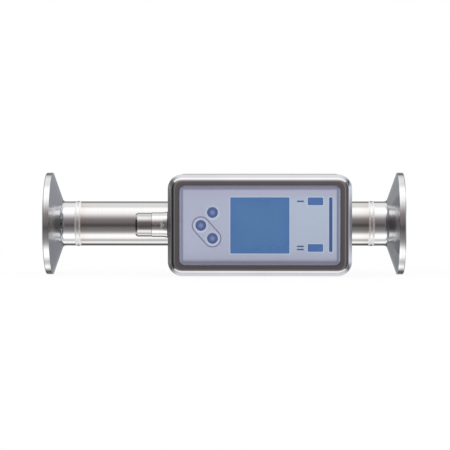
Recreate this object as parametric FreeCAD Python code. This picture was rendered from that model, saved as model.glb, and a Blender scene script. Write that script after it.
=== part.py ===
import FreeCAD, Part
import math
import os

# Inline ultrasonic flow meter with clamp ends, in millimetres.
# X runs along the flow, the display faces -Y, Z is up.
# The origin is on the bore axis, halfway between the two clamp faces.

# Flow tube and clamp ferrules
overall_length = 177.0
tube_diameter = 22.0
tube_wall = 2.0
ferrule_diameter = 50.5
ferrule_length = 16.0
ferrule_rim = 3.1
ferrule_taper = 20.0
ferrule_root_radius = 1.8
rim_edge_break = 0.35
groove_diameter = 43.5
groove_width = 4.6
groove_floor_width = 2.0
groove_depth = 1.5
weld_width = 3.0
weld_depth = 1.2
weld_crown = 0.2
weld_gap = 0.05

# Housing, its window lip and its welded back cover
housing_width = 89.1
housing_height = 49.2
housing_offset = 17.35
housing_corner = 7.0
housing_wall = 2.0
bezel_chamfer = 1.5
bezel_chamfer_slope = 51.0
bezel_round = 2.1
bezel_land = 1.45
bezel_end_land = 1.9
window_corner = 2.8
lip_thickness = 2.5
lip_seat_width = 2.1
lip_seat_depth = 3.2
cover_thickness = 2.0
cover_edge_radius = 1.2
cover_rib_length = 60.0
cover_rib_height = 2.0
cover_rib_thickness = 1.5
cover_fit = 0.15

# Seals where the tube passes the housing walls
tube_hole_clearance = 0.1
seal_fit = 0.05
seal_thickness = 1.45
seal_length = 3.0
seal_recess = 1.0

# Front panel and its bonded gasket
panel_fit = 0.2
panel_recess = 0.8
panel_bevel_width = 1.9
panel_bevel_depth = 0.8
panel_skin = 2.2
panel_side_wall = 1.2
panel_flange_thickness = 1.5
panel_flange_room = 0.4
gasket_thickness = 0.8

# Display and indicator windows: the display is centred, the lights follow the right panel edge
display_width = 28.4
display_height = 27.0
indicator_width = 7.3
indicator_height = 3.6
indicator_bar_gap = 3.0
indicator_pitch = 22.5
indicator_rise = 0.4
bar_width = 1.5
bar_length = 26.2
bar_inset = 4.65
pane_corner = 0.4
pane_fit = 0.05
pane_flange_width = 0.8
pane_flange_thickness = 0.8

# Three keys, their dished seats and the fine groove round two of them
key_diameter = 4.9
key_display_gap = 6.25
key_step_x = 5.6
key_step_z = 6.25
key_fit = 0.1
key_proud = 0.1
key_edge_break = 0.25
key_flange_width = 0.75
key_flange_thickness = 0.8
key_seat_gap = 0.05
key_stem_diameter = 2.0
key_travel = 0.4
key_switch_gap = 0.1
dish_diameter = 7.0
dish_depth = 0.3
outline_radius = 4.1
outline_width = 0.5
outline_depth = 0.25

# Electronics, stacked from the panel back towards the tube
module_thickness = 2.2
module_border = 1.2
carrier_floor = 1.4
carrier_rim = 1.0
carrier_fit = 0.1
board_thickness = 1.6
board_edge_gap = 1.2
board_margin = 1.0
board_tube_clearance = 0.85
spacer_length = 7.8
spacer_flats = 4.0
stud_diameter = 1.8
stud_length = 4.0
screw_diameter = 2.0
screw_length = 5.0
screw_head_diameter = 3.8
screw_head_height = 1.3
fastener_fit = 0.05
post_diameter = 3.6
post_wall_gap = 0.3
post_inset = 4.5
post_flange_gap = 0.2
switch_body = 4.5
switch_body_height = 1.5
switch_height = 2.0
switch_plunger_diameter = 1.8
led_height = 1.2
led_inset = 0.6
header_width = 5.0
header_length = 20.0
header_inset = 4.0
processor_width = 12.0
processor_rise = 1.6
converter_width = 10.0
converter_height = 8.0
converter_rise = 5.0
terminal_width = 6.0
terminal_height = 12.0
terminal_rise = 6.0
socket_block_width = 6.0
socket_block_height = 4.0
socket_block_rise = 4.0
component_gap = 2.0

# Round plug connector on the inlet side wall
thread_diameter = 11.8
thread_length = 6.7
thread_end_chamfer = 1.05
thread_end_break = 0.65
thread_undercut = 0.25
collar_diameter = 12.2
collar_length = 7.7
collar_flare_diameter = 12.8
collar_flare_length = 1.0
connector_seal_thickness = 0.5
shank_diameter = 10.4
shank_fit = 0.1
shank_end_length = 1.0
socket_diameter = 8.9
socket_depth = 8.0
insert_fit = 0.05
insert_tail = 1.2
pin_diameter = 1.0
pin_circle_diameter = 5.6
pin_setback = 0.9
pin_tail = 3.0
pin_count = 4
pin_fit = 0.03
nut_flats = 13.0
nut_thickness = 2.5
nut_seal_clearance = 0.5

# Ultrasonic transducers on the tube
sensor_spacing = 36.0
wedge_length = 16.0
wedge_width = 13.0
wedge_height = 6.0
wedge_land = 7.0
wedge_angle = 28.0
wedge_wrap = 1.5
coupling_gap = 0.1
transducer_diameter = 8.0
transducer_thickness = 2.4
transducer_edge_break = 0.4
yoke_thickness = 1.6
yoke_width = 5.0
yoke_gap = 0.15
yoke_top_gap = 0.6
yoke_screw_diameter = 3.0
yoke_screw_length = 2.6
yoke_screw_fit = 0.05
back_clearance = 1.25
thermometer_length = 8.0
thermometer_width = 6.0
thermometer_height = 3.5

# Places worked out from the values above
tube_radius = tube_diameter / 2
bore_radius = tube_radius - tube_wall
end_face = overall_length / 2
weld_place = end_face - ferrule_length

main_board_back = -(tube_radius + yoke_gap + yoke_thickness + board_tube_clearance)
main_board_front = main_board_back - board_thickness
display_board_back = main_board_front - spacer_length
display_board_front = display_board_back - board_thickness
module_back = display_board_front - carrier_floor
module_front = module_back - module_thickness
skin_back = module_front - pane_flange_thickness
panel_front = skin_back - panel_skin
housing_front = panel_front - panel_recess
lip_back = housing_front + lip_thickness
lip_seat_back = lip_back + lip_seat_depth
flange_front = lip_back + gasket_thickness
flange_back = flange_front + panel_flange_thickness
cover_front = tube_radius + yoke_gap + yoke_thickness + back_clearance
housing_back = cover_front + cover_thickness

housing_left = housing_offset - housing_width / 2
housing_right = housing_offset + housing_width / 2
cavity_left = housing_left + housing_wall
cavity_right = housing_right - housing_wall
cavity_width = housing_width - 2 * housing_wall
cavity_height = housing_height - 2 * housing_wall
cavity_corner = housing_corner - housing_wall
bezel_width = bezel_chamfer + bezel_round
window_width = housing_width - 2 * (bezel_width + bezel_end_land)
window_height = housing_height - 2 * (bezel_width + bezel_land)
seat_width = window_width + 2 * lip_seat_width
seat_height = window_height + 2 * lip_seat_width
seat_corner = window_corner + lip_seat_width

panel_width = window_width - 2 * panel_fit
panel_height = window_height - 2 * panel_fit
panel_corner = window_corner - panel_fit
pocket_width = panel_width - 2 * panel_side_wall
pocket_height = panel_height - 2 * panel_side_wall
pocket_corner = panel_corner - panel_side_wall

connector_axis = -(tube_radius + seal_fit + seal_thickness + nut_seal_clearance + nut_flats / 2)
collar_back = housing_left - connector_seal_thickness
collar_front = collar_back - collar_length
connector_end = collar_front - thread_length - thread_end_chamfer
socket_floor = connector_end + socket_depth
shank_end = cavity_left + nut_thickness + shank_end_length
insert_end = shank_end + insert_tail
pin_end = insert_end + pin_tail

board_left = insert_end + board_edge_gap
board_right = cavity_right - board_edge_gap
post_z = pocket_height / 2 - post_wall_gap - post_diameter / 2
board_height = 2 * (post_z + post_diameter / 2 + board_margin)
module_width = display_width + 2 * module_border
module_height = display_height + 2 * module_border
carrier_width = module_width + 2 * (carrier_fit + carrier_rim)
carrier_height = module_height + 2 * (carrier_fit + carrier_rim)

bar_x = housing_offset + panel_width / 2 - bar_inset
indicator_x = bar_x - bar_width / 2 - indicator_bar_gap - indicator_width / 2
key_x = housing_offset - display_width / 2 - key_display_gap - key_diameter / 2
key_places = {
    "enter_key": (key_x, key_step_z),
    "up_key": (key_x - key_step_x, 0.0),
    "down_key": (key_x, -key_step_z),
}
indicator_places = {
    "upper_indicator_window": (indicator_x, indicator_rise + indicator_pitch / 2),
    "lower_indicator_window": (indicator_x, indicator_rise - indicator_pitch / 2),
}
bar_place = (bar_x, indicator_rise)

flange_width = seat_width - 2 * panel_flange_room
flange_height = seat_height - 2 * panel_flange_room
flange_corner = seat_corner - panel_flange_room
left_post_x = board_left + post_inset
right_post_x = housing_offset + flange_width / 2 - post_flange_gap - post_diameter / 2
post_places = [(x, z) for x in (left_post_x, right_post_x) for z in (-post_z, post_z)]

wedge_top = tube_radius + wedge_height
sensor_places = {
    "upstream": (housing_offset - sensor_spacing / 2, -1),
    "downstream": (housing_offset + sensor_spacing / 2, 1),
}

along_x = FreeCAD.Vector(1, 0, 0)
along_y = FreeCAD.Vector(0, 1, 0)
tiny = 1e-6
cut_margin = 1.0


def point(x, y, z):
    return FreeCAD.Vector(x, y, z)


# A closed outline of (x, y, z) corners made into a flat face
def flat_face(corners):
    return Part.Face(Part.makePolygon(corners + corners[:1]))


# A solid turned about an axis along X, from its half section as (x, radius) pairs
def turned_x(section, y=0.0, z=0.0):
    corners = [point(x, y, z + radius) for x, radius in section]
    return flat_face(corners).revolve(point(0, y, z), along_x, 360)


# A solid turned about an axis along Y, from its half section as (y, radius) pairs
def turned_y(section, x, z):
    corners = [point(x + radius, y, z) for y, radius in section]
    return flat_face(corners).revolve(point(x, 0, z), along_y, 360)


def rod_x(diameter, start, end, y=0.0, z=0.0):
    return Part.makeCylinder(diameter / 2, end - start, point(start, y, z), along_x)


def rod_y(diameter, front, back, x, z):
    return Part.makeCylinder(diameter / 2, back - front, point(x, front, z), along_y)


def ring_x(inner, outer, start, end, y=0.0, z=0.0):
    return rod_x(outer, start, end, y, z).cut(rod_x(inner, start, end, y, z))


def block(x, z, width, height, front, back):
    return Part.makeBox(width, back - front, height, point(x - width / 2, front, z - height / 2))


def edges_along_y(solid):
    return [e for e in solid.Edges if e.BoundBox.XLength < tiny and e.BoundBox.ZLength < tiny]


def edges_at_y(solid, place):
    return [e for e in solid.Edges
            if abs(e.BoundBox.YMin - place) < tiny and abs(e.BoundBox.YMax - place) < tiny]


# A plate with round corners, seen from the front
def plate(width, height, corner, front, back, x=housing_offset, z=0.0):
    slab = block(x, z, width, height, front, back)
    return slab.makeFillet(corner, edges_along_y(slab))


# The outline of such a plate, for a loft
def plate_outline(width, height, corner, y):
    thin = plate(width, height, corner, y, y + panel_skin)
    front = [f for f in thin.Faces if f.BoundBox.YMax - y < tiny]
    return front[0].OuterWire


# A slot with round ends between two points, seen from the front
def slot(start, end, radius, front, back):
    run_x = end[0] - start[0]
    run_z = end[1] - start[1]
    length = math.hypot(run_x, run_z)
    web = Part.makeBox(length, back - front, 2 * radius, point(0, front, -radius))
    web.rotate(point(0, 0, 0), along_y, -math.degrees(math.atan2(run_z, run_x)))
    web.translate(point(start[0], 0, start[1]))
    ends = [rod_y(2 * radius, front, back, x, z) for x, z in (start, end)]
    return web.fuse(ends).removeSplitter()


# Straight tube with a weld preparation at each end
def measuring_tube():
    section = [
        (-weld_place, bore_radius),
        (-weld_place, tube_radius - weld_depth),
        (-weld_place + weld_width / 2, tube_radius),
        (weld_place - weld_width / 2, tube_radius),
        (weld_place, tube_radius - weld_depth),
        (weld_place, bore_radius),
    ]
    return turned_x(section)


# Clamp ferrule with a tapered back and a gasket groove; side is -1 at the inlet, 1 at the outlet
def ferrule(side):
    slope = math.tan(math.radians(ferrule_taper))
    rim_radius = ferrule_diameter / 2
    groove_outer = (groove_diameter + groove_width) / 2
    groove_inner = (groove_diameter - groove_width) / 2
    floor_outer = (groove_diameter + groove_floor_width) / 2
    floor_inner = (groove_diameter - groove_floor_width) / 2
    cone_foot = ferrule_rim + (rim_radius - tube_radius) * slope
    depth_and_radius = [
        (0.0, bore_radius),
        (0.0, groove_inner),
        (groove_depth, floor_inner),
        (groove_depth, floor_outer),
        (0.0, groove_outer),
        (0.0, rim_radius - rim_edge_break),
        (rim_edge_break, rim_radius),
        (ferrule_rim, rim_radius),
        (cone_foot, tube_radius),
        (ferrule_length - weld_width / 2, tube_radius),
        (ferrule_length, tube_radius - weld_depth),
        (ferrule_length, bore_radius),
    ]
    body = turned_x([(side * (end_face - depth), radius) for depth, radius in depth_and_radius])
    root = [e for e in body.Edges
            if abs(e.BoundBox.XMin - side * (end_face - cone_foot)) < tiny
            and abs(e.BoundBox.XMax - side * (end_face - cone_foot)) < tiny
            and e.BoundBox.ZLength > tube_diameter - tiny]
    return body.makeFillet(ferrule_root_radius, root)


# Butt weld lying in the two weld preparations, with a low crown
def weld_bead(side):
    middle = side * weld_place
    half = weld_width / 2
    section = [
        (middle, tube_radius - weld_depth + weld_gap),
        (middle + half, tube_radius + weld_gap),
        (middle + half / 2, tube_radius + weld_crown),
        (middle - half / 2, tube_radius + weld_crown),
        (middle - half, tube_radius + weld_gap),
    ]
    return turned_x(section)


# What is taken off the sharp front edge: an arc from the flat land, then a chamfer, carried round the outline
def bezel_cut():
    edges = plate_outline(housing_width, housing_height, housing_corner, housing_front).OrderedEdges
    lower = [place for place, edge in enumerate(edges) if edge.BoundBox.ZMax < tiny - housing_height / 2]
    path = Part.Wire(edges[lower[0]:] + edges[:lower[0]])
    x = path.OrderedVertexes[0].X
    foot = -housing_height / 2
    slope = math.radians(bezel_chamfer_slope)
    radius = bezel_round / math.sin(slope)

    def on_arc(turn):
        depth = radius * (1 - math.cos(turn))
        return point(x, housing_front + depth, foot + bezel_width - radius * math.sin(turn))

    on_land = on_arc(0.0)
    arc_end = on_arc(slope)
    on_side = point(x, arc_end.y + bezel_chamfer * math.tan(slope), foot)
    curve = Part.Arc(on_land, on_arc(slope / 2), arc_end).toShape()
    outside = Part.makePolygon([
        arc_end,
        on_side,
        point(x, on_side.y, foot - cut_margin),
        point(x, housing_front - cut_margin, foot - cut_margin),
        point(x, housing_front - cut_margin, foot + bezel_width),
        on_land,
    ])
    return path.makePipeShell([Part.Wire([curve] + outside.Edges)], True, False)


# Shell with a rounded and chamfered bezel, a stepped window lip and holes for tube and connector
def housing():
    shell = plate(housing_width, housing_height, housing_corner, housing_front, cover_front)
    shell = shell.cut(bezel_cut())
    cavity = plate(cavity_width, cavity_height, cavity_corner, lip_seat_back, cover_front)
    lip_seat = plate(seat_width, seat_height, seat_corner, lip_back, lip_seat_back)
    window = plate(window_width, window_height, window_corner, housing_front, lip_back)
    tube_hole = rod_x(tube_diameter + 2 * tube_hole_clearance, housing_left, housing_right)
    recess_diameter = tube_diameter + 2 * (seal_fit + seal_thickness + seal_fit)
    recess = rod_x(recess_diameter, cavity_left - seal_recess, cavity_right + seal_recess)
    plug_hole = rod_x(shank_diameter + 2 * shank_fit, housing_left, cavity_left, connector_axis)
    return shell.cut([cavity, lip_seat, window, tube_hole, recess, plug_hole])


# Flat cover welded on the back rim, with two ribs that centre it in the cavity
def back_cover():
    cover = plate(housing_width, housing_height, housing_corner, cover_front, housing_back)
    cover = cover.makeFillet(cover_edge_radius, edges_at_y(cover, housing_back))
    rib_z = cavity_height / 2 - cover_fit - cover_rib_thickness / 2
    rib_front = cover_front - cover_rib_height
    ribs = [block(housing_offset, z, cover_rib_length, cover_rib_thickness, rib_front, cover_front)
            for z in (-rib_z, rib_z)]
    return cover.fuse(ribs).removeSplitter()


# Rubber ring round the tube, half in the recess of the wall
def tube_seal(side):
    wall_face = cavity_left - seal_recess if side < 0 else cavity_right + seal_recess
    start = min(wall_face, wall_face - side * seal_length)
    inner = tube_diameter + 2 * seal_fit
    return ring_x(inner, inner + 2 * seal_thickness, start, start + seal_length)


# Moulded panel: bevelled face, clamping flange, cut-outs, dished key seats and screw posts
def front_panel():
    edge_front = panel_front + panel_bevel_depth
    inset = 2 * panel_bevel_width
    face_outline = plate_outline(panel_width - inset, panel_height - inset,
                                 max(panel_corner - panel_bevel_width, pane_corner), panel_front)
    edge_outline = plate_outline(panel_width, panel_height, panel_corner, edge_front)
    bevel = Part.makeLoft([edge_outline, face_outline], True, True)
    rim = plate(panel_width, panel_height, panel_corner, edge_front, flange_back)
    flange = plate(flange_width, flange_height, flange_corner, flange_front, flange_back)
    pocket = plate(pocket_width, pocket_height, pocket_corner, skin_back, flange_back)
    body = bevel.fuse([rim, flange]).cut(pocket)
    posts = [rod_y(post_diameter, flange_front, display_board_front, x, z) for x, z in post_places]
    feet = [rod_y(post_diameter, skin_back, flange_front, x, z) for x, z in post_places if x == left_post_x]
    body = body.fuse(posts + feet)
    cuts = [pane_hole(display_width, display_height, housing_offset, 0.0)]
    cuts += [pane_hole(indicator_width, indicator_height, x, z) for x, z in indicator_places.values()]
    cuts.append(pane_hole(bar_width, bar_length, *bar_place))
    cuts += [key_seat(x, z) for x, z in key_places.values()]
    cuts.append(key_outline())
    stud_hole = stud_diameter + 2 * fastener_fit
    stud_depth = stud_length - board_thickness + fastener_fit
    cuts += [rod_y(stud_hole, display_board_front - stud_depth, display_board_front, x, z)
             for x, z in post_places]
    return body.cut(cuts).removeSplitter()


def pane_hole(width, height, x, z):
    return plate(width + 2 * pane_fit, height + 2 * pane_fit, pane_corner, panel_front, skin_back, x, z)


# Key hole with a shallow conical dish round it
def key_seat(x, z):
    hole_radius = key_diameter / 2 + key_fit
    section = [
        (panel_front, 0.0),
        (panel_front, dish_diameter / 2),
        (panel_front + dish_depth, hole_radius),
        (skin_back, hole_radius),
        (skin_back, 0.0),
    ]
    return turned_y(section, x, z)


# Fine groove that rings the up and down keys
def key_outline():
    ends = (key_places["up_key"], key_places["down_key"])
    groove_back = panel_front + outline_depth
    outer = slot(*ends, outline_radius + outline_width / 2, panel_front, groove_back)
    inner = slot(*ends, outline_radius - outline_width / 2, panel_front, groove_back)
    return outer.cut(inner)


# Flat frame between the window lip and the panel flange
def panel_gasket():
    outer = plate(flange_width, flange_height, flange_corner, lip_back, flange_front)
    return outer.cut(plate(window_width, window_height, window_corner, lip_back, flange_front))


# Clear pane flush with the panel face, held by a flange behind the skin
def pane(width, height, x, z):
    light = plate(width, height, pane_corner, panel_front, skin_back, x, z)
    flange = block(x, z, width + 2 * pane_flange_width, height + 2 * pane_flange_width,
                   skin_back, skin_back + pane_flange_thickness)
    return light.fuse(flange).removeSplitter()


# Push key: cap through the panel, flange behind the skin, stem towards its switch
def key(x, z):
    cap = key_diameter / 2
    cap_front = panel_front - key_proud
    flange_face = skin_back + key_seat_gap
    flange_end = flange_face + key_flange_thickness
    stem_end = display_board_front - switch_height - key_travel - key_switch_gap
    section = [
        (cap_front, 0.0),
        (cap_front, cap - key_edge_break),
        (cap_front + key_edge_break, cap),
        (flange_face, cap),
        (flange_face, cap + key_flange_width),
        (flange_end, cap + key_flange_width),
        (flange_end, key_stem_diameter / 2),
        (stem_end, key_stem_diameter / 2),
        (stem_end, 0.0),
    ]
    return turned_y(section, x, z)


def display_module():
    return block(housing_offset, 0.0, module_width, module_height, module_front, module_back)


# Tray on the display board that holds the display module round its edge
def display_carrier():
    rim_front = module_back - module_thickness / 2
    tray = block(housing_offset, 0.0, carrier_width, carrier_height, rim_front, display_board_front)
    return tray.cut(block(housing_offset, 0.0, module_width + 2 * carrier_fit,
                          module_height + 2 * carrier_fit, rim_front, module_back))


# Circuit board with a hole over each post
def board(front, hole):
    width = board_right - board_left
    sheet = block(board_left + width / 2, 0.0, width, board_height, front, front + board_thickness)
    holes = [rod_y(hole + 2 * fastener_fit, front, front + board_thickness, x, z) for x, z in post_places]
    return sheet.cut(holes)


# Hexagon prism along a row axis, from the middle of its first face
def hexagon(flats, middle, run):
    corner = flats / math.sqrt(3)
    across = FreeCAD.Rotation(along_x, run)
    corners = []
    for index in range(6):
        turn = math.radians(60 * index + 30)
        corners.append(middle + across.multVec(point(0, corner * math.cos(turn), corner * math.sin(turn))))
    return flat_face(corners).extrude(run)


# Hexagon spacers between the two boards, each with a stud into its panel post
def board_spacers():
    spacers = []
    for x, z in post_places:
        body = hexagon(spacer_flats, point(x, display_board_back, z), point(0, spacer_length, 0))
        stud = rod_y(stud_diameter, display_board_back - stud_length, display_board_back, x, z)
        hole_front = main_board_back - screw_length - fastener_fit
        hole = rod_y(screw_diameter + 2 * fastener_fit, hole_front, main_board_front, x, z)
        spacers.append(body.fuse(stud).cut(hole))
    return Part.makeCompound(spacers)


def board_screws():
    head_back = main_board_back + screw_head_height
    screws = []
    for x, z in post_places:
        shank = rod_y(screw_diameter, main_board_back - screw_length, main_board_back, x, z)
        head = rod_y(screw_head_diameter, main_board_back, head_back, x, z)
        screws.append(shank.fuse(head))
    return Part.makeCompound(screws)


def board_header():
    x = board_right - header_inset
    return block(x, 0.0, header_width, header_length, display_board_back, main_board_front)


# A block on the front of the main board
def component(x, z, width, height, rise):
    return block(x, z, width, height, main_board_front - rise, main_board_front)


# Processor in the middle, converter and cable terminal beside it, a socket above each transducer lead
def board_components():
    converter_x = housing_offset - processor_width / 2 - component_gap - converter_width / 2
    terminal_x = board_left + component_gap + terminal_width / 2
    socket_z = processor_width / 2 + component_gap + socket_block_height / 2
    parts = [
        component(housing_offset, 0.0, processor_width, processor_width, processor_rise),
        component(converter_x, 0.0, converter_width, converter_height, converter_rise),
        component(terminal_x, 0.0, terminal_width, terminal_height, terminal_rise),
    ]
    for x, side in sensor_places.values():
        parts.append(component(yoke_place(x, side), socket_z, socket_block_width, socket_block_height,
                               socket_block_rise))
    return Part.makeCompound(parts)


def key_switches():
    switches = []
    for x, z in key_places.values():
        body_front = display_board_front - switch_body_height
        body = block(x, z, switch_body, switch_body, body_front, display_board_front)
        plunger = rod_y(switch_plunger_diameter, display_board_front - switch_height, body_front, x, z)
        switches.append(body.fuse(plunger))
    return Part.makeCompound(switches)


# Light sources under the two indicators and the bar
def indicator_leds():
    front = display_board_front - led_height
    leds = [block(x, z, indicator_width - 2 * led_inset, indicator_height - 2 * led_inset,
                  front, display_board_front) for x, z in indicator_places.values()]
    leds.append(block(*bar_place, bar_width, bar_length - 2 * led_inset, front, display_board_front))
    return Part.makeCompound(leds)


# Threaded sleeve with a smooth collar outside the wall and a shank through it
def connector_sleeve():
    socket = socket_diameter / 2
    thread = thread_diameter / 2
    section = [
        (connector_end, socket),
        (connector_end, thread - thread_end_break),
        (connector_end + thread_end_chamfer, thread),
        (collar_front, thread),
        (collar_front, thread - thread_undercut),
        (collar_front + thread_undercut, collar_diameter / 2),
        (collar_back - collar_flare_length, collar_diameter / 2),
        (collar_back, collar_flare_diameter / 2),
        (collar_back, shank_diameter / 2),
        (shank_end, shank_diameter / 2),
        (shank_end, socket),
    ]
    return turned_x(section, connector_axis)


def pin_places():
    places = []
    for index in range(pin_count):
        turn = 2 * math.pi * (index + 0.5) / pin_count
        reach = pin_circle_diameter / 2
        places.append((connector_axis + reach * math.cos(turn), reach * math.sin(turn)))
    return places


def connector_insert():
    body = rod_x(socket_diameter - 2 * insert_fit, socket_floor, insert_end, connector_axis)
    hole = pin_diameter + 2 * pin_fit
    return body.cut([rod_x(hole, socket_floor, insert_end, y, z) for y, z in pin_places()])


def connector_pins():
    start = connector_end + pin_setback
    return Part.makeCompound([rod_x(pin_diameter, start, pin_end, y, z) for y, z in pin_places()])


def connector_seal():
    inner = shank_diameter + 2 * shank_fit
    return ring_x(inner, collar_flare_diameter, collar_back, housing_left, connector_axis)


# Hexagon nut on the shank, a flat turned to the tube
def connector_nut():
    nut = hexagon(nut_flats, point(cavity_left, connector_axis, 0), point(nut_thickness, 0, 0))
    hole = shank_diameter + 2 * shank_fit
    return nut.cut(rod_x(hole, cavity_left, cavity_left + nut_thickness, connector_axis))


# Saddle that couples a transducer to the tube: flat land towards the middle, slope on the outside
def wedge(x, side):
    inner = x - side * wedge_length / 2
    land_end = inner + side * wedge_land
    outer = x + side * wedge_length / 2
    drop = (wedge_length - wedge_land) * math.tan(math.radians(wedge_angle))
    foot = tube_radius - wedge_wrap
    front = -wedge_width / 2
    profile = [
        point(inner, front, foot),
        point(outer, front, foot),
        point(outer, front, wedge_top - drop),
        point(land_end, front, wedge_top),
        point(inner, front, wedge_top),
    ]
    body = flat_face(profile).extrude(point(0, wedge_width, 0))
    reach = wedge_length
    return body.cut(rod_x(tube_diameter + 2 * coupling_gap, x - reach, x + reach))


# Transducer disc on the slope of its wedge
def transducer(x, side):
    slope_run = wedge_length - wedge_land
    turn = math.radians(wedge_angle)
    slope_x = x + side * (wedge_length - slope_run) / 2
    middle = point(slope_x, 0, wedge_top - slope_run * math.tan(turn) / 2)
    normal = point(side * math.sin(turn), 0, math.cos(turn))
    disc = Part.makeCylinder(transducer_diameter / 2, transducer_thickness, middle, normal)
    top = max(disc.Faces, key=lambda face: face.CenterOfMass.dot(normal))
    return disc.makeChamfer(transducer_edge_break, top.Edges)


def yoke_place(x, side):
    return x - side * (wedge_length - wedge_land) / 2


# Closed yoke round the tube and over the wedge
def yoke(x, side):
    start = yoke_place(x, side) - yoke_width / 2
    end = start + yoke_width
    inner_radius = tube_radius + yoke_gap
    inner_top = wedge_top + yoke_top_gap

    def arch(radius, top):
        upper = Part.makeBox(yoke_width, 2 * radius, top, point(start, -radius, 0))
        return upper.fuse(rod_x(2 * radius, start, end))

    band = arch(inner_radius + yoke_thickness, inner_top + yoke_thickness).cut(arch(inner_radius, inner_top))
    hole = yoke_screw_diameter / 2 + yoke_screw_fit
    middle = point(yoke_place(x, side), 0, inner_top)
    return band.cut(Part.makeCylinder(hole, yoke_thickness, middle)).removeSplitter()


# Set screws that press the wedges down
def yoke_screws():
    return Part.makeCompound([
        Part.makeCylinder(yoke_screw_diameter / 2, yoke_screw_length,
                          point(yoke_place(x, side), 0, wedge_top))
        for x, side in sensor_places.values()])


# Temperature sensor block bonded under the tube
def temperature_sensor():
    bottom = -tube_radius - thermometer_height
    body = Part.makeBox(thermometer_length, thermometer_width, thermometer_height + wedge_wrap,
                        point(housing_offset - thermometer_length / 2, -thermometer_width / 2, bottom))
    start = housing_offset - thermometer_length
    return body.cut(rod_x(tube_diameter + 2 * coupling_gap, start, start + 2 * thermometer_length))


def build():
    nodes = {
        "measuring_tube": measuring_tube(),
        "inlet_ferrule": ferrule(-1),
        "outlet_ferrule": ferrule(1),
        "inlet_weld": weld_bead(-1),
        "outlet_weld": weld_bead(1),
        "housing": housing(),
        "back_cover": back_cover(),
        "inlet_tube_seal": tube_seal(-1),
        "outlet_tube_seal": tube_seal(1),
        "front_panel": front_panel(),
        "panel_gasket": panel_gasket(),
        "display_window": pane(display_width, display_height, housing_offset, 0.0),
        "status_bar_window": pane(bar_width, bar_length, *bar_place),
        "display_module": display_module(),
        "display_carrier": display_carrier(),
        "display_board": board(display_board_front, stud_diameter),
        "main_board": board(main_board_front, screw_diameter),
        "board_spacers": board_spacers(),
        "board_screws": board_screws(),
        "board_header": board_header(),
        "board_components": board_components(),
        "key_switches": key_switches(),
        "indicator_leds": indicator_leds(),
        "connector_sleeve": connector_sleeve(),
        "connector_insert": connector_insert(),
        "connector_pins": connector_pins(),
        "connector_seal": connector_seal(),
        "connector_nut": connector_nut(),
        "yoke_screws": yoke_screws(),
        "temperature_sensor": temperature_sensor(),
    }
    for name, (x, z) in indicator_places.items():
        nodes[name] = pane(indicator_width, indicator_height, x, z)
    for name, (x, z) in key_places.items():
        nodes[name] = key(x, z)
    for name, (x, side) in sensor_places.items():
        nodes[name + "_wedge"] = wedge(x, side)
        nodes[name + "_transducer"] = transducer(x, side)
        nodes[name + "_yoke"] = yoke(x, side)
    return nodes


os.makedirs("parts", exist_ok=True)
for node_name, shape in build().items():
    shape.exportStep("parts/" + node_name + ".step")
    state = "valid" if shape.isValid() else "not valid"
    print(node_name, len(shape.Solids), "solid", state, round(shape.Volume, 1))
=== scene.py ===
import math
import bmesh
import bpy
import numpy as np
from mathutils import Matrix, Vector


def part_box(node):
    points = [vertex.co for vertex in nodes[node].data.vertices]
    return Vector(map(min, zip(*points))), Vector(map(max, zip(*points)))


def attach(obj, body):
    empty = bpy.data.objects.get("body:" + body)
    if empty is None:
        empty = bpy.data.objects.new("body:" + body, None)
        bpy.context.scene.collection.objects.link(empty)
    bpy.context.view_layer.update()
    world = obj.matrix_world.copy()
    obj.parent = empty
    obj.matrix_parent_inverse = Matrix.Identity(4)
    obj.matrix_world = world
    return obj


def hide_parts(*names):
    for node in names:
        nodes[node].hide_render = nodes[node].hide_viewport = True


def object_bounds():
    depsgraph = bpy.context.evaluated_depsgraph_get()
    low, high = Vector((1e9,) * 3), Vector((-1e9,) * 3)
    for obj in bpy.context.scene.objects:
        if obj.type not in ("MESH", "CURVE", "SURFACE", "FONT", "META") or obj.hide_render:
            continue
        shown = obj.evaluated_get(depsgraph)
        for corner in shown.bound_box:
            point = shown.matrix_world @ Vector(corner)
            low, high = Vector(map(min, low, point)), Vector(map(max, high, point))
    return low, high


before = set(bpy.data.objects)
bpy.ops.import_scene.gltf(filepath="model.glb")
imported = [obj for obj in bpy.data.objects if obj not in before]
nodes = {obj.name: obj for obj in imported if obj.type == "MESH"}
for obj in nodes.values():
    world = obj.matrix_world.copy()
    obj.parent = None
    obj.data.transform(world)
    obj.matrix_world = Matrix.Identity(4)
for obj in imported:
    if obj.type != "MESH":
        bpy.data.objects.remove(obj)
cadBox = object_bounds()
mm = 0.001


# Places read from the frame, in millimetres
def boxOf(node):
    low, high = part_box(node)
    return np.array(low) / mm, np.array(high) / mm


def middleOf(node):
    low, high = boxOf(node)
    return (low + high) / 2


def halfOf(node):  # half width and half height
    low, high = boxOf(node)
    return (high - low)[[0, 2]] / 2


weldPlaces = {name: float(middleOf(name)[0]) for name in ("inlet_weld", "outlet_weld")}
keyPlaces = {name: middleOf(name) for name in ("enter_key", "up_key", "down_key")}
plugAxis = middleOf("connector_pins")
panelMiddle = middleOf("front_panel")
panelFace = boxOf("front_panel")[0][1]  # its y
windowFlange = 0.8  # how far each window reaches behind the panel, all round


# Colours are written as a screen shows them, 0 to 255, and made linear for the sockets
def shown(red, green, blue):
    value = np.array([red, green, blue]) / 255
    linear = np.where(value <= 0.04045, value / 12.92, ((value + 0.055) / 1.055) ** 2.4)
    return (*[float(part) for part in linear], 1.0)


# Node helpers: a value is either a number to set or a socket to link
def feed(tree, socket, value):
    if isinstance(value, bpy.types.NodeSocket):
        tree.links.new(value, socket)
    else:
        socket.default_value = value


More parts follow.
